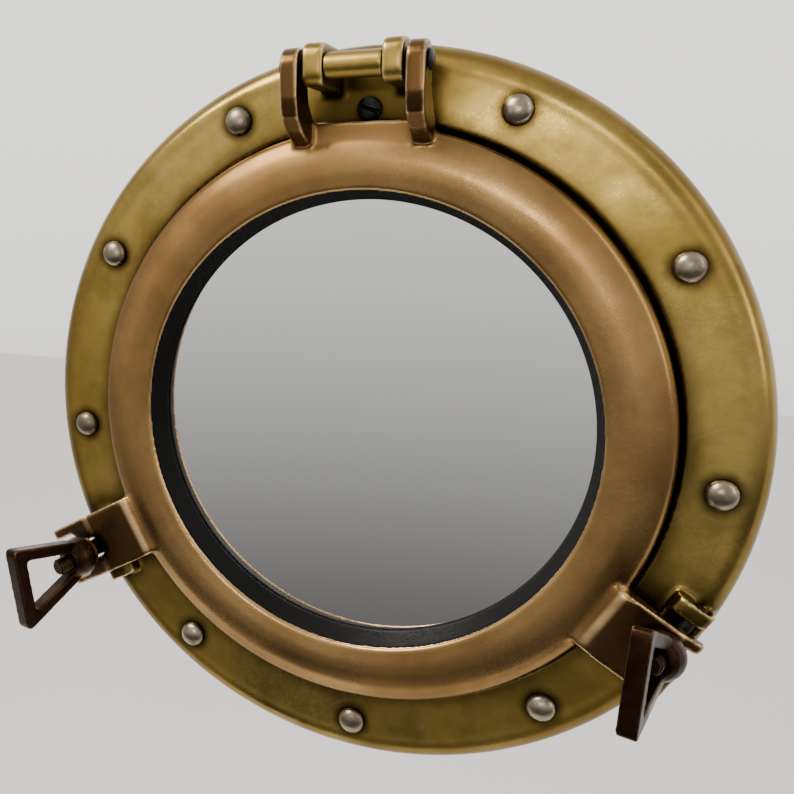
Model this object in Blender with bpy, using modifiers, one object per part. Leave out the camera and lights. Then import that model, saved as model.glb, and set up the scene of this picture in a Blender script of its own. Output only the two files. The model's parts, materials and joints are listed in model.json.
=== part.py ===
"""An opening porthole: a flange ring that is fixed to a wall, and a door ring that hinges up from it.

Everything is modelled in plate coordinates, in metres: X to the right, Y up the wall and Z out from
the wall. One empty turns them so that the porthole hangs on the XZ plane and faces -Y.
"""

from math import cos, pi, radians, sin

import bmesh
import bpy

MM = 0.001
GAP = 0.3 * MM  # between pieces that touch on the real object

# Flange ring, fixed to the wall: radii, and heights above the wall.
FLANGE_R = 152.4 * MM
RIDGE_R = 144.5 * MM
RIM_SIDE_H = 6.0 * MM
FACE_H = 14.0 * MM
PLATE_T = 4.0 * MM
RIM_WALL_T = 4.0 * MM
POCKET_R = 121.8 * MM  # the door drops into this pocket
POCKET_FLOOR_H = 3.6 * MM
SIGHT_R = 101.0 * MM  # the clear hole through the flange
SEAT_WALL_R = 126.0 * MM

# Door ring.
DOOR_R = 120.4 * MM
DOOR_BACK_H = 9.5 * MM
DOOR_EDGE_H = 19.0 * MM
CROWN_R = 108.0 * MM
CROWN_H = 25.2 * MM
LIP_R = 95.5 * MM
LIP_TOP_H = 23.0 * MM
LIP_BACK_H = 21.9 * MM
GASKET_SLOT_R = 97.6 * MM
RABBET_R = 105.0 * MM
SHOULDER_H = 13.3 * MM

# Pane and what holds it.
PANE_R = 104.2 * MM
PANE_FRONT_H = 11.5 * MM
PANE_T = 2.5 * MM
BACKING_T = 1.2 * MM
RETAINER_R = 111.8 * MM
RETAINER_HOLE_R = 98.5 * MM
RETAINER_T = 1.5 * MM
GASKET_T = 1.5 * MM
GASKET_FOOT_R = 92.3 * MM
SCREW_CIRCLE_R = 108.5 * MM
SCREW_COUNT = 6
SCREW_R = 1.5 * MM
SCREW_HEAD_R = 2.8 * MM
SCREW_LENGTH = 6.0 * MM

# Compression seal in the pocket.
SEAL_INNER_R = 113.6 * MM
SEAL_OUTER_R = 119.4 * MM

# Domed rivets, three between each two of hinge, left dog and right dog.
RIVET_CIRCLE_R = 136.6 * MM
RIVET_SPACING = radians(35.6)
RIVET_GROUPS = (radians(30), radians(270), radians(150))
RIVET_R = 6.0 * MM
RIVET_DOME_H = 3.8 * MM
RIVET_SHANK_R = 2.4 * MM
RIVET_TAIL_R = 4.0 * MM

# Hinge: its axis is level, above the door.
HINGE_Y = 141.0 * MM
HINGE_H = 35.0 * MM
HINGE_PIN_R = 2.5 * MM
ARM_X = 24.0 * MM
ARM_W = 7.0 * MM
ARM_BOSS_R = 7.2 * MM
KNUCKLE_X = 15.2 * MM
KNUCKLE_W = 8.0 * MM
KNUCKLE_TOP = (149.5 * MM, 40.3 * MM)
SLEEVE_R = 5.0 * MM
HINGE_SCREW_Y = 127.0 * MM
BRIDGE_EDGE_Y = 121.6 * MM
HINGE_SCREW_R = 5.0 * MM
HINGE_SCREW_TIP_H = 4.0 * MM

# Dogs: swing bolts with wing nuts, pivoted on the flange at these angles round the ring.
DOG_ANGLE = {"left": radians(209.4), "right": radians(329.6)}
DOG_LEAN = {"left": radians(16), "right": radians(-15)}  # outwards from the wall's normal
NUT_TURN = {"left": radians(-26), "right": radians(28)}
PIVOT_R = 143.5 * MM
PIVOT_H = 16.8 * MM
PIVOT_PIN_R = 2.5 * MM
EAR_SPAN = (-14.6 * MM, 19.0 * MM)
EAR_INNER_R = 134.0 * MM
EAR_OUTER_R = 149.0 * MM
EAR_TOP_H = 20.9 * MM
EAR_STEP_T = 12.5 * MM  # the raised ear stands outside the lug's edge, beyond this
EAR_RECESS_R = 3.6 * MM
EAR_RECESS_T = 1.6 * MM
EYE_R = 5.2 * MM
EYE_W = 8.6 * MM
BOLT_R = 4.0 * MM
BOLT_LENGTH = 31.5 * MM
SEAT = 12.8 * MM  # from the pivot to the washer
WASHER_R = 7.6 * MM
WASHER_T = 1.6 * MM
HUB_R = 9.4 * MM
HUB_H = 10.5 * MM
LOOP_REACH = 40.8 * MM  # from the nut's seat to its far end
LOOP_WIDE = 40.0 * MM
LOOP_NARROW = 17.5 * MM
LOOP_BAR = 6.0 * MM
LOOP_T = 7.0 * MM

# Forked lugs on the door, which the dogs clamp. The left one reaches further than the right one.
LUG_W = 29.0 * MM
LUG_OFFSET = {"left": -1.0 * MM, "right": -5.0 * MM}
LUG_ROOT_R = 110.0 * MM
LUG_FOLD = (118.5 * MM, 26.2 * MM)
LUG_RIDGE = (142.0 * MM, 27.3 * MM)
LUG_TIP = {"left": (167.0 * MM, 22.8 * MM), "right": (151.0 * MM, 25.6 * MM)}
LUG_UNDER_H = 21.4 * MM
SLOT_W = 9.8 * MM
SLOT_INNER_R = {"left": 143.2 * MM, "right": 141.0 * MM}
MOUTH_W = 20.8 * MM  # beyond the seat the slot widens, so that the nut swings out between the prongs
MOUTH_R = 153.0 * MM

RING_STEPS = 72
SMALL_STEPS = 16

COLOURS = {
    "flange_brass": ((0.42, 0.33, 0.15), 0.35, 1.0),
    "door_brass": ((0.45, 0.31, 0.17), 0.32, 1.0),
    "rivet_pewter": ((0.35, 0.32, 0.28), 0.4, 1.0),
    "dog_bronze": ((0.12, 0.07, 0.04), 0.4, 1.0),
    "blackened_steel": ((0.03, 0.03, 0.03), 0.5, 1.0),
    "black_rubber": ((0.015, 0.015, 0.015), 0.7, 0.0),
    "mirror_silver": ((0.9, 0.9, 0.9), 0.02, 1.0),
    "backing_board": ((0.2, 0.16, 0.12), 0.8, 0.0),
    "retainer_brass": ((0.5, 0.4, 0.2), 0.4, 1.0),
}


def clear_scene():
    for obj in list(bpy.data.objects):
        bpy.data.objects.remove(obj, do_unlink=True)


def new_collection(name):
    collection = bpy.data.collections.new(name)
    bpy.context.scene.collection.children.link(collection)
    return collection


def make_material(name):
    colour, roughness, metallic = COLOURS[name]
    material = bpy.data.materials.new(name)
    material.use_nodes = True
    shader = material.node_tree.nodes["Principled BSDF"]
    shader.inputs["Base Color"].default_value = (*colour, 1.0)
    shader.inputs["Roughness"].default_value = roughness
    shader.inputs["Metallic"].default_value = metallic
    return material


def arc(centre, radius, start, end, steps):
    """Points round a centre from one angle to another, both ends included."""
    return [
        (
            centre[0] + radius * cos(start + (end - start) * i / steps),
            centre[1] + radius * sin(start + (end - start) * i / steps),
        )
        for i in range(steps + 1)
    ]


def place(obj, parent, collection, location=(0, 0, 0), rotation=(0, 0, 0)):
    collection.objects.link(obj)
    obj.parent = parent
    obj.location = location
    obj.rotation_euler = rotation
    return obj


def shade(obj, material=None):
    obj.data.shade_smooth()
    obj.data.set_sharp_from_angle(angle=radians(35))
    if material is not None:
        obj.data.materials.append(material)


def turned(name, profile, steps, closed):
    """A turned shape about Z. The profile runs down its outer side; a closed one is a ring's section."""
    mesh = bpy.data.meshes.new(name)
    count = len(profile)
    edges = [(i, i + 1) for i in range(count - 1)] + ([(count - 1, 0)] if closed else [])
    mesh.from_pydata([(r, 0, z) for r, z in profile], edges, [])
    obj = bpy.data.objects.new(name, mesh)
    screw = obj.modifiers.new("turn", "SCREW")
    screw.axis = "Z"
    screw.angle = 2 * pi
    screw.steps = screw.render_steps = steps
    screw.use_merge_vertices = True
    screw.merge_threshold = 0.00001
    screw.use_smooth_shade = True
    return obj


def slab(name, outlines, thickness):
    """A flat outline, with any holes, in X and Z, and its thickness along Y, centred."""
    curve = bpy.data.curves.new(name, "CURVE")
    curve.dimensions = "2D"
    curve.fill_mode = "BOTH"
    curve.extrude = thickness / 2
    for outline in outlines:
        spline = curve.splines.new("POLY")
        spline.points.add(len(outline) - 1)
        for point, (x, z) in zip(spline.points, outline):
            point.co = (x, z, 0, 1)
        spline.use_cyclic_u = True
    drawn = bpy.data.objects.new(name + "_outline", curve)
    bpy.context.scene.collection.objects.link(drawn)
    graph = bpy.context.evaluated_depsgraph_get()
    mesh = bpy.data.meshes.new_from_object(drawn.evaluated_get(graph))
    bpy.data.objects.remove(drawn, do_unlink=True)
    body = bmesh.new()
    body.from_mesh(mesh)
    bmesh.ops.remove_doubles(body, verts=body.verts, dist=0.00001)
    for vert in body.verts:
        vert.co = (vert.co.x, -vert.co.z, vert.co.y)
    bmesh.ops.recalc_face_normals(body, faces=body.faces)
    body.to_mesh(mesh)
    body.free()
    return bpy.data.objects.new(name, mesh)


def rod(name, radius, start, end, axis="Z", steps=SMALL_STEPS):
    """A round bar along one axis, from start to end."""
    body = bmesh.new()
    bmesh.ops.create_cone(
        body,
        cap_ends=True,
        segments=steps,
        radius1=radius,
        radius2=radius,
        depth=end - start,
    )
    for vert in body.verts:
        x, y, z = vert.co.x, vert.co.y, vert.co.z + (start + end) / 2
        vert.co = {"X": (z, x, y), "Y": (y, z, x), "Z": (x, y, z)}[axis]
    mesh = bpy.data.meshes.new(name)
    body.to_mesh(mesh)
    body.free()
    return bpy.data.objects.new(name, mesh)


def block(name, low, high):
    body = bmesh.new()
    bmesh.ops.create_cube(body, size=1.0)
    for vert in body.verts:
        vert.co = [
            (a + b) / 2 + (b - a) * c for a, b, c in zip(low, high, vert.co)
        ]
    mesh = bpy.data.meshes.new(name)
    body.to_mesh(mesh)
    body.free()
    return bpy.data.objects.new(name, mesh)


def combine(target, tool, operation):
    modifier = target.modifiers.new(tool.name, "BOOLEAN")
    modifier.operation = operation
    modifier.object = tool
    modifier.solver = "EXACT"


class Builder:
    """Holds the collections, the turning empty and the materials, and joins tools to their parts."""

    def __init__(self):
        self.parts = new_collection("opening_porthole")
        self.tools = new_collection("cutters")
        self.tools.hide_render = True
        self.plate = bpy.data.objects.new("wall_frame", None)
        self.plate.rotation_euler = (pi / 2, 0, 0)
        self.parts.objects.link(self.plate)
        self.materials = {name: make_material(name) for name in COLOURS}

    def empty(self, name, parent, location, rotation):
        return place(bpy.data.objects.new(name, None), parent, self.parts, location, rotation)

    def part(self, obj, material, parent=None, location=(0, 0, 0), rotation=(0, 0, 0)):
        place(obj, parent or self.plate, self.parts, location, rotation)
        shade(obj, self.materials[material])
        return obj

    def tool(self, target, obj, operation, parent=None, location=(0, 0, 0), rotation=(0, 0, 0)):
        place(obj, parent or self.plate, self.tools, location, rotation)
        shade(obj)
        obj.hide_render = True
        obj.display_type = "WIRE"
        combine(target, obj, operation)


def ring_point(radius, angle, height=0.0):
    return (radius * cos(angle), radius * sin(angle), height)


def rivet_angles():
    return [group + step * RIVET_SPACING for group in RIVET_GROUPS for step in (1, 0, -1)]


def screw_angles():
    return [2 * pi * i / SCREW_COUNT for i in range(SCREW_COUNT)]


def flange_profile():
    rim_out = FLANGE_R - RIDGE_R
    rim_up = FACE_H - RIM_SIDE_H
    rim = [
        (RIDGE_R + rim_out * sin(turn), RIM_SIDE_H + rim_up * cos(turn))
        for turn in (radians(a) for a in (0, 18, 36, 54, 72, 90))
    ]
    face_dip = 0.4 * MM
    return [
        (POCKET_R + 1.0 * MM, FACE_H - face_dip),
        (RIDGE_R - 2.5 * MM, FACE_H - face_dip),
        *rim,
        (FLANGE_R, 0),
        (FLANGE_R - RIM_WALL_T, 0),
        (FLANGE_R - RIM_WALL_T, RIM_SIDE_H),
        (RIDGE_R, FACE_H - PLATE_T),
        (SEAT_WALL_R, FACE_H - PLATE_T),
        (SEAT_WALL_R, 0),
        (SIGHT_R, 0),
        (SIGHT_R, POCKET_FLOOR_H),
        (POCKET_R, POCKET_FLOOR_H),
        (POCKET_R, FACE_H - face_dip - 1.0 * MM),
    ]


def ear_outline():
    """Side view of a dog ear, radius across and height up."""
    cut = 3.0 * MM
    inner_cut = 4.5 * MM
    return [
        (EAR_OUTER_R, RIM_SIDE_H),
        (EAR_OUTER_R, EAR_TOP_H - cut),
        (EAR_OUTER_R - 0.9 * MM, EAR_TOP_H - 0.9 * MM),
        (EAR_OUTER_R - cut, EAR_TOP_H),
        (EAR_INNER_R + inner_cut, EAR_TOP_H),
        (EAR_INNER_R + 1.2 * MM, EAR_TOP_H - 1.4 * MM),
        (EAR_INNER_R, EAR_TOP_H - inner_cut),
        (EAR_INNER_R, FACE_H - PLATE_T + 1.0 * MM),
    ]


def knuckle_outline():
    """Side view of a hinge knuckle, Y across and height up: a block with rounded top corners."""
    top_y, top_h = KNUCKLE_TOP
    foot_h = FACE_H - PLATE_T + 1.0 * MM
    outer = arc((top_y - 5 * MM, top_h - 5 * MM), 5 * MM, 0, pi / 2, 4)
    inner = arc((HINGE_Y - 2.5 * MM, top_h - 5 * MM), 5 * MM, pi / 2, pi, 4)
    return [
        (HINGE_Y + 8.5 * MM, RIM_SIDE_H),
        (top_y, FACE_H + 6 * MM),
        *outer,
        *inner,
        (HINGE_Y - 7.5 * MM, FACE_H + 6 * MM),
        (HINGE_Y - 9.0 * MM, foot_h),
    ]


def make_flange(build):
    flange = turned("flange_ring", flange_profile(), RING_STEPS, True)
    build.part(flange, "flange_brass")
    for side in (-1, 1):
        knuckle = slab(f"knuckle_{side}", [knuckle_outline()], KNUCKLE_W)
        build.tool(flange, knuckle, "UNION", location=(side * KNUCKLE_X, 0, 0), rotation=(0, 0, pi / 2))
    ear_mid = sum(EAR_SPAN) / 2
    for name, angle in DOG_ANGLE.items():
        ear = slab(f"ear_{name}", [ear_outline()], EAR_SPAN[1] - EAR_SPAN[0])
        spot = (-ear_mid * sin(angle), ear_mid * cos(angle), 0)
        build.tool(flange, ear, "UNION", location=spot, rotation=(0, 0, angle))
    for name, angle in DOG_ANGLE.items():
        slot_half = EYE_W / 2 + 0.6 * MM
        low = (EAR_INNER_R - 3 * MM, -slot_half, FACE_H - PLATE_T + 0.9 * MM)
        high = (FLANGE_R + 9 * MM, slot_half, PIVOT_H + 12 * MM)
        build.tool(flange, block(f"eye_slot_{name}", low, high), "DIFFERENCE", rotation=(0, 0, angle))
        low = (EAR_INNER_R - 3 * MM, 0, PIVOT_H)
        high = (FLANGE_R + 9 * MM, EAR_STEP_T, PIVOT_H + 12 * MM)
        build.tool(flange, block(f"ear_step_{name}", low, high), "DIFFERENCE", rotation=(0, 0, angle))
        bore = rod(f"pivot_bore_{name}", PIVOT_PIN_R + GAP, -30 * MM, 30 * MM, "Y")
        spot = ring_point(PIVOT_R, angle, PIVOT_H)
        build.tool(flange, bore, "DIFFERENCE", location=spot, rotation=(0, 0, angle))
        span = (EAR_SPAN[1] - EAR_RECESS_T, EAR_SPAN[1] + GAP)
        recess = rod(f"pivot_recess_{name}", EAR_RECESS_R, *span, "Y", 20)
        build.tool(flange, recess, "DIFFERENCE", location=spot, rotation=(0, 0, angle))
    bore = rod("knuckle_bore", HINGE_PIN_R + GAP, -40 * MM, 40 * MM, "X")
    build.tool(flange, bore, "DIFFERENCE", location=(0, HINGE_Y, HINGE_H))
    for i, angle in enumerate(rivet_angles(), 1):
        hole = rod(f"rivet_hole_{i}", RIVET_SHANK_R + GAP, -4 * MM, 8 * MM, steps=12)
        spot = ring_point(RIVET_CIRCLE_R, angle, FACE_H - PLATE_T)
        build.tool(flange, hole, "DIFFERENCE", location=spot)
    hole = rod("hinge_screw_hole", RIVET_SHANK_R + GAP, HINGE_SCREW_TIP_H - GAP, FACE_H + 4 * MM, steps=12)
    build.tool(flange, hole, "DIFFERENCE", location=(0, HINGE_SCREW_Y, 0))


def dome(radius, height, count):
    """Profile of a dome from its top to its edge."""
    steps = [radians(90 - 90 * i / count) for i in range(count + 1)]
    return [(radius * cos(turn), height * sin(turn)) for turn in steps]


def make_rivets(build):
    top = FACE_H - 0.4 * MM + GAP
    under = FACE_H - PLATE_T - GAP
    tail = 2.0 * MM
    profile = [(r, top + z + 0.4 * MM) for r, z in dome(RIVET_R, RIVET_DOME_H - 0.4 * MM, 5)]
    profile += [
        (RIVET_R, top),
        (RIVET_SHANK_R, top),
        (RIVET_SHANK_R, under),
        (RIVET_TAIL_R, under),
        (RIVET_TAIL_R - 0.8 * MM, under - tail),
        (0, under - tail),
    ]
    for i, angle in enumerate(rivet_angles(), 1):
        rivet = turned(f"flange_rivet_{i}", profile, SMALL_STEPS, False)
        build.part(rivet, "rivet_pewter", location=ring_point(RIVET_CIRCLE_R, angle))


def make_hinge(build):
    half = ARM_X + ARM_W / 2 + GAP
    head_t, head_r = 1.6 * MM, 4.0 * MM
    profile = [
        (0, half + head_t),
        (head_r * 0.6, half + head_t),
        (head_r, half + head_t * 0.4),
        (head_r, half),
        (HINGE_PIN_R, half),
        (HINGE_PIN_R, -half),
        (head_r, -half),
        (head_r, -half - head_t * 0.4),
        (head_r * 0.6, -half - head_t),
        (0, -half - head_t),
    ]
    pin = turned("hinge_pin", profile, SMALL_STEPS, False)
    build.part(pin, "blackened_steel", location=(0, HINGE_Y, HINGE_H), rotation=(0, pi / 2, 0))

    sleeve_half = KNUCKLE_X - KNUCKLE_W / 2 - GAP
    inner = HINGE_PIN_R + GAP
    profile = [
        (SLEEVE_R, sleeve_half),
        (SLEEVE_R, -sleeve_half),
        (inner, -sleeve_half),
        (inner, sleeve_half),
    ]
    sleeve = turned("hinge_sleeve", profile, 20, True)
    build.part(sleeve, "flange_brass", location=(0, HINGE_Y, HINGE_H), rotation=(0, pi / 2, 0))

    base = FACE_H - 0.4 * MM + GAP
    profile = [(r, base + 1.0 * MM + z) for r, z in dome(HINGE_SCREW_R, 2.2 * MM, 4)]
    profile += [
        (HINGE_SCREW_R, base),
        (RIVET_SHANK_R, base),
        (RIVET_SHANK_R, HINGE_SCREW_TIP_H),
        (0, HINGE_SCREW_TIP_H),
    ]
    screw = turned("hinge_recess_screw", profile, SMALL_STEPS, False)
    build.part(screw, "blackened_steel", location=(0, HINGE_SCREW_Y, 0))
    slot = block("screw_slot", (-8 * MM, -0.6 * MM, base + 1.6 * MM), (8 * MM, 0.6 * MM, base + 9 * MM))
    build.tool(screw, slot, "DIFFERENCE", location=(0, HINGE_SCREW_Y, 0), rotation=(0, 0, radians(-20)))


def door_profile():
    edge = arc((DOOR_R - 4.0 * MM, DOOR_EDGE_H), 4.0 * MM, radians(70), 0, 4)
    lip = arc((LIP_R + 1.6 * MM, LIP_TOP_H - 0.4 * MM), 1.6 * MM, pi, radians(80), 3)
    return [
        *lip,
        (CROWN_R - 5 * MM, CROWN_H - 0.2 * MM),
        (CROWN_R, CROWN_H),
        (CROWN_R + 5 * MM, CROWN_H - 0.8 * MM),
        *edge,
        (DOOR_R, DOOR_BACK_H),
        (RABBET_R, DOOR_BACK_H),
        (RABBET_R, SHOULDER_H),
        (GASKET_SLOT_R, SHOULDER_H),
        (GASKET_SLOT_R, LIP_BACK_H),
        (LIP_R, LIP_BACK_H),
    ]


def lug_outline(name):
    """Side view of a dog lug, radius across and height up: a strap off the ring with two folds."""
    tip_r, tip_h = LUG_TIP[name]
    return [
        (LUG_ROOT_R, CROWN_H - 2.5 * MM),
        LUG_FOLD,
        LUG_RIDGE,
        (tip_r - 1.2 * MM, tip_h),
        (tip_r, tip_h - 1.2 * MM),
        (tip_r - 0.6 * MM, tip_h - 4.2 * MM),
        (EAR_OUTER_R - 0.8 * MM, LUG_UNDER_H),
        (EAR_INNER_R - 2 * MM, LUG_UNDER_H),
        (DOOR_R + 1 * MM, DOOR_EDGE_H - 1 * MM),
        (LUG_ROOT_R, DOOR_EDGE_H - 1 * MM),
    ]


def arm_outline():
    """Side view of a hinge arm, Y across and height up: it rises from the ring's crown to the pin."""
    boss = arc((HINGE_Y, HINGE_H), ARM_BOSS_R, radians(80), radians(-120), 9)
    return [
        (112.0 * MM, 22.5 * MM),
        (113.2 * MM, 26.0 * MM),
        (117.5 * MM, 34.0 * MM),
        (122.5 * MM, 39.6 * MM),
        (129.0 * MM, 41.6 * MM),
        *boss,
        (129.0 * MM, 26.8 * MM),
        (DOOR_R - 0.2 * MM, DOOR_EDGE_H - 0.5 * MM),
        (112.0 * MM, DOOR_EDGE_H - 0.5 * MM),
    ]


def slot_outline(name):
    """Plan of the lug's slot: a round inner end, a narrow part and a wide mouth."""
    half, wide, corner = SLOT_W / 2, MOUTH_W / 2, 2.0 * MM
    inner = arc((SLOT_INNER_R[name], 0), half, radians(270), radians(90), 8)
    far = PIVOT_R + 40 * MM
    return [
        *inner,
        (MOUTH_R, half),
        (MOUTH_R, wide - corner),
        (MOUTH_R + corner, wide),
        (far, wide),
        (far, -wide),
        (MOUTH_R + corner, -wide),
        (MOUTH_R, corner - wide),
        (MOUTH_R, -half),
    ]


def make_door(build):
    door = turned("door_ring", door_profile(), RING_STEPS, True)
    build.part(door, "door_brass")
    for name, angle in DOG_ANGLE.items():
        lug = slab(f"lug_{name}", [lug_outline(name)], LUG_W)
        spot = (-LUG_OFFSET[name] * sin(angle), LUG_OFFSET[name] * cos(angle), 0)
        build.tool(door, lug, "UNION", location=spot, rotation=(0, 0, angle))
    for side in (-1, 1):
        arm = slab(f"arm_{side}", [arm_outline()], ARM_W)
        build.tool(door, arm, "UNION", location=(side * ARM_X, 0, 0), rotation=(0, 0, pi / 2))
    low = (-ARM_X, CROWN_R, DOOR_EDGE_H - 0.7 * MM)
    high = (ARM_X, BRIDGE_EDGE_Y, CROWN_H - 1.4 * MM)
    build.tool(door, block("bridge", low, high), "UNION")
    for name, angle in DOG_ANGLE.items():
        slot = slab(f"lug_slot_{name}", [slot_outline(name)], 60 * MM)
        build.tool(
            door, slot, "DIFFERENCE", location=(0, 0, 30 * MM), rotation=(pi / 2, 0, angle)
        )
    bore = rod("arm_bore", HINGE_PIN_R + GAP, -40 * MM, 40 * MM, "X")
    build.tool(door, bore, "DIFFERENCE", location=(0, HINGE_Y, HINGE_H))
    for i, angle in enumerate(screw_angles(), 1):
        hole = rod(f"screw_hole_{i}", SCREW_R + GAP, -3 * MM, SCREW_LENGTH, steps=8)
        spot = ring_point(SCREW_CIRCLE_R, angle, DOOR_BACK_H)
        build.tool(door, hole, "DIFFERENCE", location=spot)


def ring_section(inner, outer, low, high):
    return [(outer, high), (outer, low), (inner, low), (inner, high)]


def disc_profile(radius, low, high):
    return [(0, high), (radius, high), (radius, low), (0, low)]


def make_pane(build):
    pane_back = PANE_FRONT_H - PANE_T
    pane = turned("mirror_pane", disc_profile(PANE_R, pane_back, PANE_FRONT_H), RING_STEPS, False)
    build.part(pane, "mirror_silver")

    backing_top = pane_back - GAP
    backing_back = backing_top - BACKING_T
    backing = disc_profile(PANE_R, backing_back, backing_top)
    build.part(turned("backing_plate", backing, RING_STEPS, False), "backing_board")

    foot = PANE_FRONT_H + GAP
    wall_in = GASKET_SLOT_R - GAP - GASKET_T
    gasket = [
        (GASKET_SLOT_R - GAP, LIP_BACK_H - GAP),
        (GASKET_SLOT_R - GAP, SHOULDER_H - GAP),
        (PANE_R, SHOULDER_H - GAP),
        (PANE_R, foot),
        (GASKET_FOOT_R, foot),
        (GASKET_FOOT_R, SHOULDER_H),
        (wall_in, LIP_BACK_H - GAP),
    ]
    build.part(turned("glazing_gasket", gasket, RING_STEPS, True), "black_rubber")

    top = min(backing_back, DOOR_BACK_H) - GAP
    section = ring_section(RETAINER_HOLE_R, RETAINER_R, top - RETAINER_T, top)
    retainer = turned("retaining_ring", section, RING_STEPS, True)
    build.part(retainer, "retainer_brass")
    head_top = top - RETAINER_T - GAP
    head_t = 1.3 * MM
    profile = [
        (0, head_top + SCREW_LENGTH),
        (SCREW_R, head_top + SCREW_LENGTH),
        (SCREW_R, head_top),
        (SCREW_HEAD_R, head_top),
        (SCREW_HEAD_R - 0.5 * MM, head_top - head_t),
        (0, head_top - head_t),
    ]
    for i, angle in enumerate(screw_angles(), 1):
        spot = ring_point(SCREW_CIRCLE_R, angle)
        hole = rod(f"retainer_hole_{i}", SCREW_R + GAP, 0, 15 * MM, steps=8)
        build.tool(retainer, hole, "DIFFERENCE", location=spot)
        screw = turned(f"retaining_screw_{i}", profile, 12, False)
        build.part(screw, "blackened_steel", location=spot)

    low = POCKET_FLOOR_H + GAP
    section = ring_section(SEAL_INNER_R, SEAL_OUTER_R, low, DOOR_BACK_H - GAP)
    build.part(turned("door_seal", section, RING_STEPS, True), "black_rubber")


def make_pivot_pin(build, name, angle):
    """The pin goes through both ears: flush at one end, and its other end in a round recess."""
    profile = [
        (0, EAR_SPAN[1] - 0.4 * MM),
        (PIVOT_PIN_R - 0.6 * MM, EAR_SPAN[1] - 0.4 * MM),
        (PIVOT_PIN_R, EAR_SPAN[1] - 0.9 * MM),
        (PIVOT_PIN_R, EAR_SPAN[0]),
        (0, EAR_SPAN[0]),
    ]
    pin = turned(f"pivot_pin_{name}", profile, SMALL_STEPS, False)
    # The profile's Z turns to the tangent of the ring.
    spot = ring_point(PIVOT_R, angle, PIVOT_H)
    build.part(pin, "blackened_steel", location=spot, rotation=(-pi / 2, 0, angle))


def trapezium(reach, narrow, wide, foot):
    return [(-narrow / 2, foot), (narrow / 2, foot), (wide / 2, reach), (-wide / 2, reach)]


def rounded(outline, radius, steps):
    """The outline with each corner replaced by an arc-like run of points."""
    result = []
    count = len(outline)
    for i, (x, z) in enumerate(outline):
        ends = []
        for other in (outline[i - 1], outline[(i + 1) % count]):
            dx, dz = other[0] - x, other[1] - z
            length = (dx * dx + dz * dz) ** 0.5
            ends.append((x + dx / length * radius, z + dz / length * radius))
        for step in range(steps + 1):
            t = step / steps
            a, b, c = (1 - t) ** 2, 2 * t * (1 - t), t * t
            result.append(
                (a * ends[0][0] + b * x + c * ends[1][0], a * ends[0][1] + b * z + c * ends[1][1])
            )
    return result


def make_dog(build, name):
    """A swing bolt with its washer and wing nut, built along Z from the pivot."""
    angle = DOG_ANGLE[name]
    pivot = build.empty(
        f"dog_pivot_{name}",
        build.plate,
        ring_point(PIVOT_R, angle, PIVOT_H),
        (0, DOG_LEAN[name], angle),
    )
    chamfer = 0.8 * MM
    profile = [
        (0, BOLT_LENGTH),
        (BOLT_R - chamfer, BOLT_LENGTH),
        (BOLT_R, BOLT_LENGTH - chamfer),
        (BOLT_R, 2.0 * MM),
        (0, 2.0 * MM),
    ]
    bolt = turned(f"swing_bolt_{name}", profile, SMALL_STEPS, False)
    build.part(bolt, "dog_bronze", parent=pivot)
    eye = rod(f"eye_{name}", EYE_R, -EYE_W / 2, EYE_W / 2, "Y", 20)
    build.tool(bolt, eye, "UNION", parent=pivot)
    bore = rod(f"eye_bore_{name}", PIVOT_PIN_R + GAP, -EYE_W, EYE_W, "Y")
    build.tool(bolt, bore, "DIFFERENCE", parent=pivot)

    inner = BOLT_R + GAP
    washer = ring_section(inner, WASHER_R, SEAT, SEAT + WASHER_T)
    build.part(turned(f"seat_washer_{name}", washer, 20, True), "dog_bronze", parent=pivot)

    foot = SEAT + WASHER_T + GAP
    turn = (0, 0, NUT_TURN[name])
    profile = [
        (0, HUB_H),
        (HUB_R * 0.62, HUB_H),
        (HUB_R * 0.84, HUB_H * 0.8),
        (HUB_R * 0.97, HUB_H * 0.5),
        (HUB_R, HUB_H * 0.22),
        (HUB_R * 0.93, 0),
        (0, 0),
    ]
    profile = [(r, foot + z) for r, z in profile]
    nut = turned(f"wing_nut_{name}", profile, 20, False)
    build.part(nut, "dog_bronze", parent=pivot, rotation=turn)
    outer = trapezium(foot + LOOP_REACH, LOOP_NARROW, LOOP_WIDE, foot + HUB_H * 0.45)
    hole = trapezium(
        foot + LOOP_REACH - LOOP_BAR,
        LOOP_NARROW - 2.0 * MM - LOOP_BAR,
        LOOP_WIDE - 2.5 * LOOP_BAR,
        foot + HUB_H - 1.5 * MM,
    )
    loop = slab(f"loop_{name}", [rounded(outer, 3.5 * MM, 3), rounded(hole, 2.0 * MM, 2)], LOOP_T)
    build.tool(
        nut, loop, "UNION", parent=pivot, rotation=(0, 0, NUT_TURN[name] + pi / 2)
    )
    bore = rod(f"nut_bore_{name}", BOLT_R + GAP, 0, BOLT_LENGTH + 2 * MM)
    build.tool(nut, bore, "DIFFERENCE", parent=pivot)


def main():
    clear_scene()
    build = Builder()
    make_flange(build)
    make_rivets(build)
    make_hinge(build)
    make_door(build)
    make_pane(build)
    for name, angle in DOG_ANGLE.items():
        make_pivot_pin(build, name, angle)
        make_dog(build, name)


main()
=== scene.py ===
"""Finishes, light and camera for the opening porthole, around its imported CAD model.

The porthole hangs on the XZ plane, its back at y = 0, and faces -Y. A radius below is measured
round the Y axis, a height is out from the wall, which is -y, and lengths are in metres.
"""

import json
from functools import partial
from math import atan2, cos, hypot, pi, radians, sin

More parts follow.
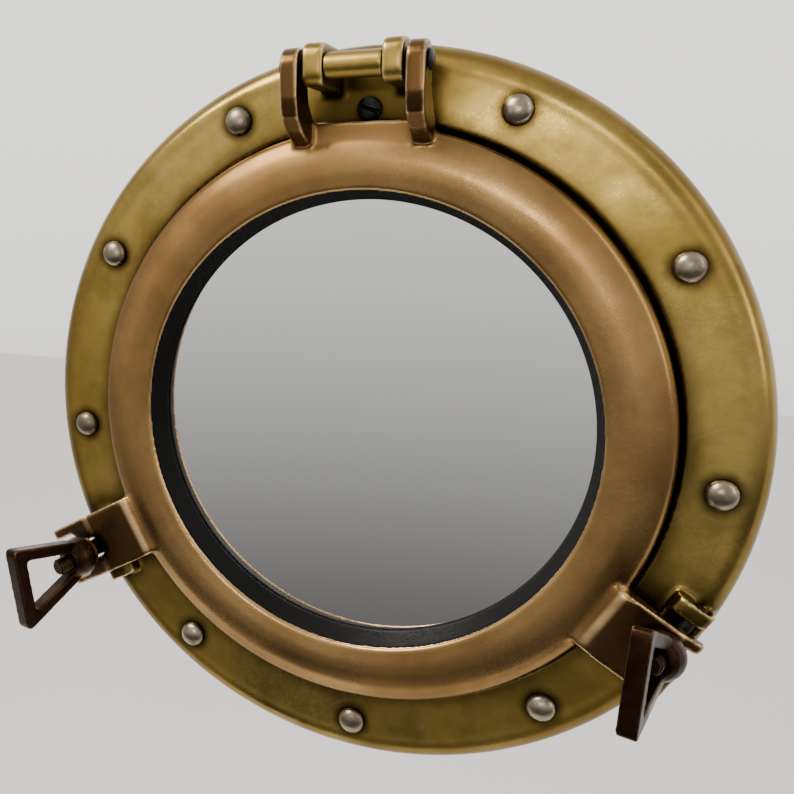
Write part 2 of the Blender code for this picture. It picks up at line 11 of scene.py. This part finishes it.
import bpy
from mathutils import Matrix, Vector


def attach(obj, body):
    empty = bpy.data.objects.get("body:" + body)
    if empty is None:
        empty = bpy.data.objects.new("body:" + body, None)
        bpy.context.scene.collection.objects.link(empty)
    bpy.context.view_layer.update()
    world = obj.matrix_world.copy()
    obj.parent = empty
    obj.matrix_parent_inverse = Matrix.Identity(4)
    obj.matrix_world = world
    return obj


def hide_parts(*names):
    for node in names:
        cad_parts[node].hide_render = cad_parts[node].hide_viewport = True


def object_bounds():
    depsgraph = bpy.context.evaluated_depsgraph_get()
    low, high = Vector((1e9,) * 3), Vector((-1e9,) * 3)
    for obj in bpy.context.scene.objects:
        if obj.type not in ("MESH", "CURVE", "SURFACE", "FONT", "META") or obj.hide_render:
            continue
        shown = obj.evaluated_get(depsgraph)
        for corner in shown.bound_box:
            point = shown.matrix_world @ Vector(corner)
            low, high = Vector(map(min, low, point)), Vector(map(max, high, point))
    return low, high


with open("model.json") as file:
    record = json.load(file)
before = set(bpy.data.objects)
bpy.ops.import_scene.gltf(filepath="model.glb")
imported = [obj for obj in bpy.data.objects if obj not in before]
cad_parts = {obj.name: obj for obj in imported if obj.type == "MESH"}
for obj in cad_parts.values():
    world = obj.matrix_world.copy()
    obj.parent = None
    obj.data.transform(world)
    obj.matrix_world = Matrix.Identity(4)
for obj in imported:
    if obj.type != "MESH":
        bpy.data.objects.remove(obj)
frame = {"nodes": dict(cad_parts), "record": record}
cad_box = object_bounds()

NODES = frame["nodes"]
MM = 0.001
RING_STEP = 2 * pi / 72  # the CAD model's rings are turned in 72 steps

# The CAD model's dimensions that the finishes and the threads follow.
FACE_H = 14.0 * MM
RIVET_CIRCLE_R = 136.6 * MM
RIVET_SPACING = radians(35.6)
RIVET_GROUPS = (radians(30), radians(270), radians(150))
HINGE_FOOT_Z = 128.0 * MM
DOG_ANGLE = {"left": radians(209.4), "right": radians(329.6)}
DOG_LEAN = {"left": radians(16), "right": radians(-15)}
PIVOT_R = 143.5 * MM
PIVOT_H = 16.8 * MM
LUG_MID = (141.0 * MM, 24.0 * MM)  # radius and height
LUG_FOLDS = (118.5 * MM, 142.0 * MM)

# Swing bolts' threads.
THREAD_START = 12.0 * MM  # from the pivot
THREAD_CORE_R = 3.2 * MM
THREAD_PITCH = 1.25 * MM
THREAD_DEPTH = 0.45 * MM

SHARP_ANGLE = radians(32)
SMOOTH_FACTOR = 0.5


# ---------------------------------------------------------------- materials


class Graph:
    """A short way to write a material's node tree."""

    def __init__(self, name):
        self.material = bpy.data.materials.new(name)
        self.material.use_nodes = True
        self.tree = self.material.node_tree
        self.tree.nodes.clear()
        self.shader = self.node("ShaderNodeBsdfPrincipled")
        self.output = self.node("ShaderNodeOutputMaterial")
        self.link(self.shader.outputs[0], self.output.inputs["Surface"])

    def node(self, kind, **settings):
        node = self.tree.nodes.new(kind)
        for key, value in settings.items():
            setattr(node, key, value)
        return node

    def link(self, out, into):
        self.tree.links.new(out, into)

    def put(self, socket, value):
        if isinstance(value, bpy.types.NodeSocket):
            self.link(value, socket)
        else:
            socket.default_value = value

    def position(self):
        """The point in the row frame at rest: a CAD node's object coordinates."""
        return self.node("ShaderNodeTexCoord").outputs["Object"]

    def noise(self, scale, detail=4.0, rough=0.55, vector=None, distortion=0.0):
        node = self.node("ShaderNodeTexNoise")
        self.put(node.inputs["Vector"], vector or self.position())
        node.inputs["Scale"].default_value = scale
        node.inputs["Detail"].default_value = detail
        node.inputs["Roughness"].default_value = rough
        node.inputs["Distortion"].default_value = distortion
        return node.outputs["Fac"]

    def ramp(self, value, low, high, start=0.0, end=1.0):
        node = self.node("ShaderNodeMapRange", clamp=True, interpolation_type="SMOOTHSTEP")
        self.put(node.inputs["Value"], value)
        node.inputs["From Min"].default_value = low
        node.inputs["From Max"].default_value = high
        node.inputs["To Min"].default_value = start
        node.inputs["To Max"].default_value = end
        return node.outputs["Result"]

    def maths(self, operation, a, b=0.0, c=0.0):
        node = self.node("ShaderNodeMath", operation=operation)
        for socket, value in zip(node.inputs, (a, b, c)):
            self.put(socket, value)
        return node.outputs[0]

    def mix(self, factor, a, b, blend="MIX"):
        node = self.node("ShaderNodeMix", data_type="RGBA", blend_type=blend)
        self.put(node.inputs[0], factor)
        self.put(node.inputs[6], (*a, 1.0) if isinstance(a, tuple) else a)
        self.put(node.inputs[7], (*b, 1.0) if isinstance(b, tuple) else b)
        return node.outputs[2]

    def distance(self, centre, vector=None):
        node = self.node("ShaderNodeVectorMath", operation="DISTANCE")
        self.put(node.inputs[0], vector or self.position())
        node.inputs[1].default_value = centre
        return node.outputs["Value"]

    def cavity(self, distance):
        """1 in the open, and lower in corners and recesses."""
        node = self.node("ShaderNodeAmbientOcclusion", samples=8)
        node.inputs["Distance"].default_value = distance
        return node.outputs["AO"]

    def bump(self, height, strength, distance):
        node = self.node("ShaderNodeBump")
        node.inputs["Strength"].default_value = strength
        node.inputs["Distance"].default_value = distance
        self.link(height, node.inputs["Height"])
        self.link(node.outputs[0], self.shader.inputs["Normal"])

    def finish(self, colour, roughness, metallic=1.0):
        if isinstance(colour, tuple):
            colour = (*colour, 1.0)
        self.put(self.shader.inputs["Base Color"], colour)
        self.put(self.shader.inputs["Roughness"], roughness)
        self.shader.inputs["Metallic"].default_value = metallic
        return self.material


def antique_metal(
    name,
    deep,
    mid,
    worn,
    patina,
    rough=(0.28, 0.5),
    blotch=14.0,
    corner_shade_reach=0.012,
    bright=None,
    extra=(),
):
    """Antiqued metal: worn and dull patches, blotches of patina, specks, and painted shade in
    corners and recesses.

    bright is the colour of rubbed edges. Each of extra gives a mask and the colour that it lays on.
    """
    g = Graph(name)
    broad = g.ramp(g.noise(blotch, 5.0, 0.6, distortion=0.4), 0.34, 0.68)
    cloud = g.ramp(g.noise(blotch * 3.1, 6.0, 0.65), 0.35, 0.7)
    fine = g.noise(620.0, 5.0, 0.7)
    speck = g.ramp(g.noise(210.0, 6.0, 0.75), 0.62, 0.78)
    colour = g.mix(broad, mid, worn)
    colour = g.mix(g.maths("MULTIPLY", cloud, 0.55), colour, patina)
    for layer in extra:
        mask, tint = layer(g)
        colour = g.mix(mask, colour, tint)
    colour = g.mix(g.maths("MULTIPLY", speck, 0.35), colour, deep)
    # Painted shade: corners and recesses within reach of other surfaces are darkened towards deep.
    painted_corner_shade = g.ramp(g.cavity(corner_shade_reach), 0.35, 0.95, 1.0, 0.0)
    colour = g.mix(g.maths("MULTIPLY", painted_corner_shade, 0.9), colour, deep)
    if bright is not None:
        point = g.node("ShaderNodeNewGeometry").outputs["Pointiness"]
        uneven = g.ramp(g.noise(85.0, 4.0, 0.6), 0.25, 0.6)
        rubbed = g.maths("MULTIPLY", g.ramp(point, 0.515, 0.555), uneven)
        colour = g.mix(g.maths("MULTIPLY", rubbed, 0.8), colour, bright)
        inside = g.ramp(point, 0.44, 0.485, 1.0, 0.0)
        colour = g.mix(g.maths("MULTIPLY", inside, 0.8), colour, deep)
    shine = g.maths("ADD", g.maths("MULTIPLY", broad, 0.5), g.maths("MULTIPLY", fine, 0.5))
    roughness = g.ramp(shine, 0.2, 0.9, rough[1], rough[0])
    height = g.maths("ADD", g.maths("MULTIPLY", fine, 0.35), g.noise(45.0, 3.0, 0.5))
    g.bump(height, 0.10, 0.0012)
    return g.finish(colour, roughness)


def axes(g):
    """X, Y and Z of the point."""
    node = g.node("ShaderNodeSeparateXYZ")
    g.link(g.position(), node.inputs[0])
    return node.outputs


def radius_of(g):
    """The point's distance from the Y axis."""
    x, _, z = axes(g)
    return g.maths("SQRT", g.maths("ADD", g.maths("MULTIPLY", x, x), g.maths("MULTIPLY", z, z)))


def height_of(g):
    """The point's height from the wall."""
    return g.maths("MULTIPLY", axes(g)[1], -1.0)


def strongest(g, masks):
    """The highest of several masks."""
    total = masks[0]
    for mask in masks[1:]:
        total = g.maths("MAXIMUM", total, mask)
    return total


def unevenness(g, scale, amount):
    """A noise about zero, in metres, that keeps a mask's edge from being a perfect circle."""
    return g.maths("MULTIPLY", g.maths("SUBTRACT", g.noise(scale, 4.0, 0.6), 0.5), amount)


def dog_point(angle, radius, height):
    """A point at a dog's angle round the ring."""
    return (radius * cos(angle), -height, radius * sin(angle))


def rivet_angles():
    """Three rivets between each two of the hinge, the left dog and the right dog."""
    return [group + step * RIVET_SPACING for group in RIVET_GROUPS for step in (1, 0, -1)]


def rivet_halo(g):
    """Dark rings of old lacquer round the rivets."""
    wobble = g.maths("MULTIPLY", g.noise(160.0, 3.0, 0.6), 3.0 * MM)
    masks = []
    for angle in rivet_angles():
        away = g.distance(dog_point(angle, RIVET_CIRCLE_R, FACE_H))
        masks.append(g.ramp(g.maths("ADD", away, wobble), 7.0 * MM, 12.0 * MM, 1.0, 0.0))
    return g.maths("MULTIPLY", strongest(g, masks), 0.85), (0.035, 0.020, 0.006)


def painted_rim_shade(g):
    """Painted shade: the flange is browner near its outer edge and beside the door."""
    radius = g.maths("ADD", radius_of(g), unevenness(g, 38.0, 9.0 * MM))
    outer = g.ramp(radius, 141.0 * MM, 150.0 * MM)
    inner = g.ramp(radius, 122.0 * MM, 130.0 * MM, 1.0, 0.0)
    return g.maths("MULTIPLY", g.maths("MAXIMUM", outer, inner), 0.6), (0.085, 0.050, 0.012)


def painted_hinge_shadow(g):
    """Painted shadow: the flange under and behind the hinge is darkened almost to black."""
    near = g.ramp(g.distance((0.0, -FACE_H, HINGE_FOOT_Z)), 14.0 * MM, 30.0 * MM, 1.0, 0.0)
    low = g.ramp(height_of(g), 15.0 * MM, 24.0 * MM, 1.0, 0.35)
    return g.maths("MULTIPLY", g.maths("MULTIPLY", near, low), 0.75), (0.05, 0.03, 0.008)


def painted_ear_shadow(g):
    """Painted shadow: the dog ears and the flange round them are darkened."""
    masks = [
        g.ramp(g.distance(dog_point(angle, PIVOT_R, PIVOT_H)), 15.0 * MM, 30.0 * MM, 1.0, 0.0)
        for angle in DOG_ANGLE.values()
    ]
    return g.maths("MULTIPLY", strongest(g, masks), 0.82), (0.045, 0.026, 0.009)


def painted_fold_highlights(g):
    """Painted highlights along the two folds across each lug."""
    x, _, z = axes(g)
    high = g.ramp(height_of(g), 21.5 * MM, 23.5 * MM)
    uneven = g.ramp(g.noise(70.0, 3.0, 0.6), 0.2, 0.6, 0.45, 1.0)

    def along(step_x, step_z):
        return g.maths("ADD", g.maths("MULTIPLY", x, step_x), g.maths("MULTIPLY", z, step_z))

    masks = []
    for angle in DOG_ANGLE.values():
        outward = along(cos(angle), sin(angle))
        sideways = g.maths("ABSOLUTE", along(-sin(angle), cos(angle)))
        beside = g.ramp(sideways, 15.0 * MM, 20.0 * MM, 1.0, 0.0)
        for fold in LUG_FOLDS:
            off = g.maths("ABSOLUTE", g.maths("SUBTRACT", outward, fold))
            line = g.ramp(off, 0.4 * MM, 2.4 * MM, 1.0, 0.0)
            masks.append(g.maths("MULTIPLY", line, beside))
    total = g.maths("MULTIPLY", strongest(g, masks), high)
    return g.maths("MULTIPLY", total, uneven), (0.66, 0.44, 0.21)


def painted_ring_shade(g):
    """Painted shade: the door ring is browner towards its outer edge."""
    radius = g.maths("ADD", radius_of(g), unevenness(g, 30.0, 10.0 * MM))
    edge = g.ramp(radius, 108.0 * MM, 121.0 * MM)
    return g.maths("MULTIPLY", edge, 0.65), (0.12, 0.062, 0.02)


def arm_and_lug(g):
    """The hinge arms and the lugs are a darker bronze than the ring."""
    raised = g.ramp(height_of(g), 26.4 * MM, 30.0 * MM)
    upper = g.ramp(axes(g)[2], 80.0 * MM, 100.0 * MM)
    masks = [g.maths("MULTIPLY", raised, upper)]
    for angle in DOG_ANGLE.values():
        away = g.distance(dog_point(angle, *LUG_MID))
        masks.append(g.ramp(away, 22.0 * MM, 33.0 * MM, 1.0, 0.0))
    return g.maths("MULTIPLY", strongest(g, masks), 0.85), (0.095, 0.048, 0.018)


def mirror_material():
    g = Graph("mirror_silver")
    haze = g.noise(9.0, 3.0, 0.5)
    return g.finish((0.9, 0.91, 0.9), g.ramp(haze, 0.2, 0.8, 0.012, 0.022))


def rubber_material():
    g = Graph("black_rubber")
    grain = g.noise(900.0, 4.0, 0.6)
    colour = g.mix(grain, (0.0008, 0.0008, 0.0008), (0.003, 0.003, 0.003))
    g.bump(grain, 0.15, 0.0003)
    g.shader.inputs["Specular IOR Level"].default_value = 0.12
    return g.finish(colour, g.ramp(grain, 0.2, 0.8, 0.42, 0.62), 0.0)


def board_material():
    g = Graph("backing_board")
    grain = g.noise(260.0, 6.0, 0.7)
    colour = g.mix(grain, (0.10, 0.07, 0.045), (0.26, 0.19, 0.12))
    g.bump(grain, 0.4, 0.0005)
    return g.finish(colour, 0.85, 0.0)


MATERIALS = {
    "flange_brass": antique_metal(
        "flange_brass",
        deep=(0.016, 0.009, 0.002),
        mid=(0.30, 0.20, 0.045),
        worn=(0.55, 0.39, 0.11),
        patina=(0.14, 0.093, 0.02),
        rough=(0.20, 0.40),
        blotch=11.0,
        bright=(0.80, 0.62, 0.27),
        extra=(painted_rim_shade, painted_hinge_shadow, painted_ear_shadow, rivet_halo),
    ),
    "door_brass": antique_metal(
        "door_brass",
        deep=(0.022, 0.010, 0.003),
        mid=(0.33, 0.19, 0.065),
        worn=(0.52, 0.32, 0.13),
        patina=(0.19, 0.10, 0.034),
        rough=(0.20, 0.34),
        blotch=8.0,
        bright=(0.80, 0.56, 0.30),
        extra=(painted_ring_shade, arm_and_lug, painted_fold_highlights),
    ),
    "rivet_pewter": antique_metal(
        "rivet_pewter",
        deep=(0.012, 0.008, 0.005),
        mid=(0.18, 0.145, 0.10),
        worn=(0.42, 0.36, 0.27),
        patina=(0.08, 0.055, 0.032),
        rough=(0.20, 0.38),
        blotch=60.0,
        corner_shade_reach=0.004,
    ),
    "dog_bronze": antique_metal(
        "dog_bronze",
        deep=(0.004, 0.002, 0.0015),
        mid=(0.018, 0.008, 0.004),
        worn=(0.055, 0.026, 0.012),
        patina=(0.009, 0.004, 0.0025),
        rough=(0.25, 0.42),
        blotch=40.0,
        corner_shade_reach=0.008,
        bright=(0.15, 0.08, 0.036),
    ),
    "blackened_steel": antique_metal(
        "blackened_steel",
        deep=(0.003, 0.003, 0.003),
        mid=(0.016, 0.017, 0.016),
        worn=(0.06, 0.06, 0.055),
        patina=(0.01, 0.009, 0.007),
        rough=(0.35, 0.55),
        blotch=90.0,
        corner_shade_reach=0.003,
    ),
    "retainer_brass": antique_metal(
        "retainer_brass",
        deep=(0.05, 0.03, 0.01),
        mid=(0.45, 0.33, 0.14),
        worn=(0.60, 0.46, 0.22),
        patina=(0.28, 0.2, 0.08),
        blotch=20.0,
    ),
    "black_rubber": rubber_material(),
    "mirror_silver": mirror_material(),
    "backing_board": board_material(),
}

# Each body's pieces, by how their names start.
BODY_PREFIXES = {
    "flange": ("flange_", "hinge_", "pivot_", "door_seal"),
    "door": ("door_ring", "mirror_", "backing_", "glazing_", "retaining_"),
    "bolt_left": ("swing_bolt_left",),
    "bolt_right": ("swing_bolt_right",),
    "washer_left": ("seat_washer_left",),
    "washer_right": ("seat_washer_right",),
    "nut_left": ("wing_nut_left",),
    "nut_right": ("wing_nut_right",),
}
BODY_OF = {
    name: body
    for body, prefixes in BODY_PREFIXES.items()
    for name in NODES
    if name.startswith(prefixes)
}
SLOT_OF = {row["node"]: row["material_slot"] for row in frame["record"]["subparts"]}


def paint(obj, slot):
    obj.data.materials.clear()
    obj.data.materials.append(MATERIALS[slot])


for name, obj in NODES.items():
    paint(obj, SLOT_OF[name])
    obj.data.shade_smooth()
    obj.data.set_sharp_from_angle(angle=SHARP_ANGLE)


# ---------------------------------------------------------------- fine castings


def round_facets(mesh):
    """Moves the flats of a turned ring's sides out onto its true circles."""
    for vert in mesh.vertices:
        x, y, z = vert.co
        off = atan2(z, x) % RING_STEP - RING_STEP / 2
        factor = cos(off) / cos(RING_STEP / 2)
        vert.co = (x * factor, y, z * factor)


def cut_thread(name, mesh):
    """A helical thread on the free end of a swing bolt."""
    angle, lean = DOG_ANGLE[name], DOG_LEAN[name]
    out = Vector((cos(angle), 0, sin(angle)))
    side = Vector((-sin(angle), 0, cos(angle)))
    along = Vector((sin(lean) * out.x, -cos(lean), sin(lean) * out.z))
    across = side.cross(along)
    pivot = Vector((PIVOT_R * out.x, -PIVOT_H, PIVOT_R * out.z))
    for vert in mesh.vertices:
        arm = vert.co - pivot
        reach = arm.dot(along)
        radial = arm - along * reach
        if reach < THREAD_START or radial.length < THREAD_CORE_R:
            continue
        turn = atan2(radial.dot(across), radial.dot(side))
        groove = 0.5 - 0.5 * cos(2 * pi * reach / THREAD_PITCH - turn)
        vert.co -= radial.normalized() * THREAD_DEPTH * groove


def baked(obj):
    """Applies an object's modifiers."""
    graph = bpy.context.evaluated_depsgraph_get()
    mesh = bpy.data.meshes.new_from_object(obj.evaluated_get(graph))
    obj.modifiers.clear()
    obj.data = mesh
    return mesh


def add_smooth(obj, passes, group=""):
    smooth = obj.modifiers.new("smooth", "SMOOTH")
    smooth.factor = SMOOTH_FACTOR
    smooth.iterations = passes
    smooth.vertex_group = group


def casting(name, voxel, passes, hold=None, held_passes=0, shape=None):
    """A dense, softened copy of a CAD node, as the cast and polished piece really is.

    It gets passes of smoothing. Where hold is true it gets held_passes only, and elsewhere both.
    """
    copy = bpy.data.objects.new(name + "_cast", NODES[name].data.copy())
    bpy.context.scene.collection.objects.link(copy)
    remesh = copy.modifiers.new("skin", "REMESH")
    remesh.mode = "VOXEL"
    remesh.voxel_size = voxel
    mesh = baked(copy)
    if shape is not None:
        shape(mesh)
    if hold is None:
        add_smooth(copy, passes)
    else:
        group = copy.vertex_groups.new(name="open")
        group.add([v.index for v in mesh.vertices if not hold(v.co)], 1.0, "REPLACE")
        add_smooth(copy, passes, "open")
        add_smooth(copy, held_passes)
    mesh = baked(copy)
    copy.vertex_groups.clear()
    mesh.shade_smooth()
    paint(copy, SLOT_OF[name])
    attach(copy, BODY_OF[name])
    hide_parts(name)


def on_door_detail(co):
    """Arms, lugs, bridge and the inner lip keep their edges."""
    radius, height = hypot(co.x, co.z), -co.y
    return radius < 99 * MM or radius > 121 * MM or height > 26.6 * MM


def on_flange_detail(co):
    """Knuckles, ears and the pocket keep their edges."""
    radius, height = hypot(co.x, co.z), -co.y
    return height > 15 * MM or radius < 133 * MM


casting("door_ring", 0.80 * MM, 13, on_door_detail, 6, round_facets)
casting("flange_ring", 0.90 * MM, 9, on_flange_detail, 4, round_facets)
casting("glazing_gasket", 0.50 * MM, 2, shape=round_facets)
casting("door_seal", 0.70 * MM, 2, shape=round_facets)
for side in ("left", "right"):
    casting(f"wing_nut_{side}", 0.45 * MM, 12)
    casting(f"swing_bolt_{side}", 0.25 * MM, 1, shape=partial(cut_thread, side))
for number in range(1, 10):
    casting(f"flange_rivet_{number}", 0.40 * MM, 6)
casting("hinge_recess_screw", 0.25 * MM, 3)
casting("hinge_sleeve", 0.45 * MM, 6)
casting("hinge_pin", 0.45 * MM, 4)


# ---------------------------------------------------------------- room, light and camera


FLOOR_DROP = 0.60
FLOOR_SIZE = 4.0
FLOOR_FRONT = -0.45


def stage_material():
    g = Graph("stage_floor")
    colour = g.mix(g.noise(3.0, 2.0, 0.5), (0.80, 0.79, 0.77), (0.84, 0.83, 0.81))
    return g.finish(colour, 0.7, 0.0)


def floor():
    """A plain pale floor, well below the porthole; it stops short in front, out of the mirror."""
    low = cad_box[0][2] - FLOOR_DROP
    mesh = bpy.data.meshes.new("floor")
    size, front = FLOOR_SIZE, FLOOR_FRONT
    mesh.from_pydata(
        [(-size, front, low), (size, front, low), (size, size, low), (-size, size, low)],
        [],
        [(0, 1, 2, 3)],
    )
    obj = bpy.data.objects.new("floor", mesh)
    bpy.context.scene.collection.objects.link(obj)
    mesh.materials.append(stage_material())


def area(name, place, target, size, power, colour, size_y=None):
    """An area light that faces a target."""
    light = bpy.data.lights.new(name, "AREA")
    light.energy = power
    light.color = colour
    light.size = size
    if size_y is not None:
        light.shape = "RECTANGLE"
        light.size_y = size_y
    obj = bpy.data.objects.new(name, light)
    obj.location = place
    direction = Vector(target) - Vector(place)
    obj.rotation_euler = direction.to_track_quat("-Z", "Y").to_euler()
    bpy.context.scene.collection.objects.link(obj)


def world_light():
    """A pale room: bright behind the porthole and above it, darker in front of it and below."""
    world = bpy.data.worlds.new("studio")
    bpy.context.scene.world = world
    world.use_nodes = True
    tree = world.node_tree
    place = tree.nodes.new("ShaderNodeTexCoord")
    split = tree.nodes.new("ShaderNodeSeparateXYZ")
    back = tree.nodes.new("ShaderNodeMapRange")
    up = tree.nodes.new("ShaderNodeMapRange")
    total = tree.nodes.new("ShaderNodeMath")
    tree.links.new(place.outputs["Generated"], split.inputs[0])
    for node, axis, limits in (
        (back, "Y", (0.0, 0.40, 0.0, 0.75)),
        (up, "Z", (-0.50, 0.12, 0.12, 0.95)),
    ):
        node.interpolation_type = "SMOOTHSTEP"
        tree.links.new(split.outputs[axis], node.inputs["Value"])
        for key, value in zip(("From Min", "From Max", "To Min", "To Max"), limits):
            node.inputs[key].default_value = value
    tree.links.new(back.outputs["Result"], total.inputs[0])
    tree.links.new(up.outputs["Result"], total.inputs[1])
    shade = tree.nodes["Background"]
    shade.inputs["Color"].default_value = (1.0, 0.975, 0.94, 1.0)
    tree.links.new(total.outputs[0], shade.inputs["Strength"])


def camera():
    """Close, to the right of the porthole and above its middle; the shift keeps it framed."""
    data = bpy.data.cameras.new("camera")
    data.lens = 40.99
    data.sensor_width = 36.0
    data.shift_x = 0.2064
    data.shift_y = -0.0106
    data.clip_start = 0.01
    obj = bpy.data.objects.new("camera", data)
    obj.location = (0.10364, -0.37356, 0.08686)
    obj.rotation_euler = (radians(78.996), radians(-0.11), radians(24.317))
    bpy.context.scene.collection.objects.link(obj)
    bpy.context.scene.camera = obj


floor()
world_light()
area("key", (-0.65, -0.75, 0.95), (0, 0, 0.02), 0.55, 20.0, (1.0, 0.95, 0.87))
area("window", (0.03, -1.5, 0.29), (0.06, 0, 0.12), 0.42, 2.6, (1.0, 0.96, 0.88), size_y=0.13)
area("side", (1.1, -0.5, 0.55), (0.05, 0, 0), 0.25, 3.5, (1.0, 0.97, 0.92), size_y=1.0)
camera()
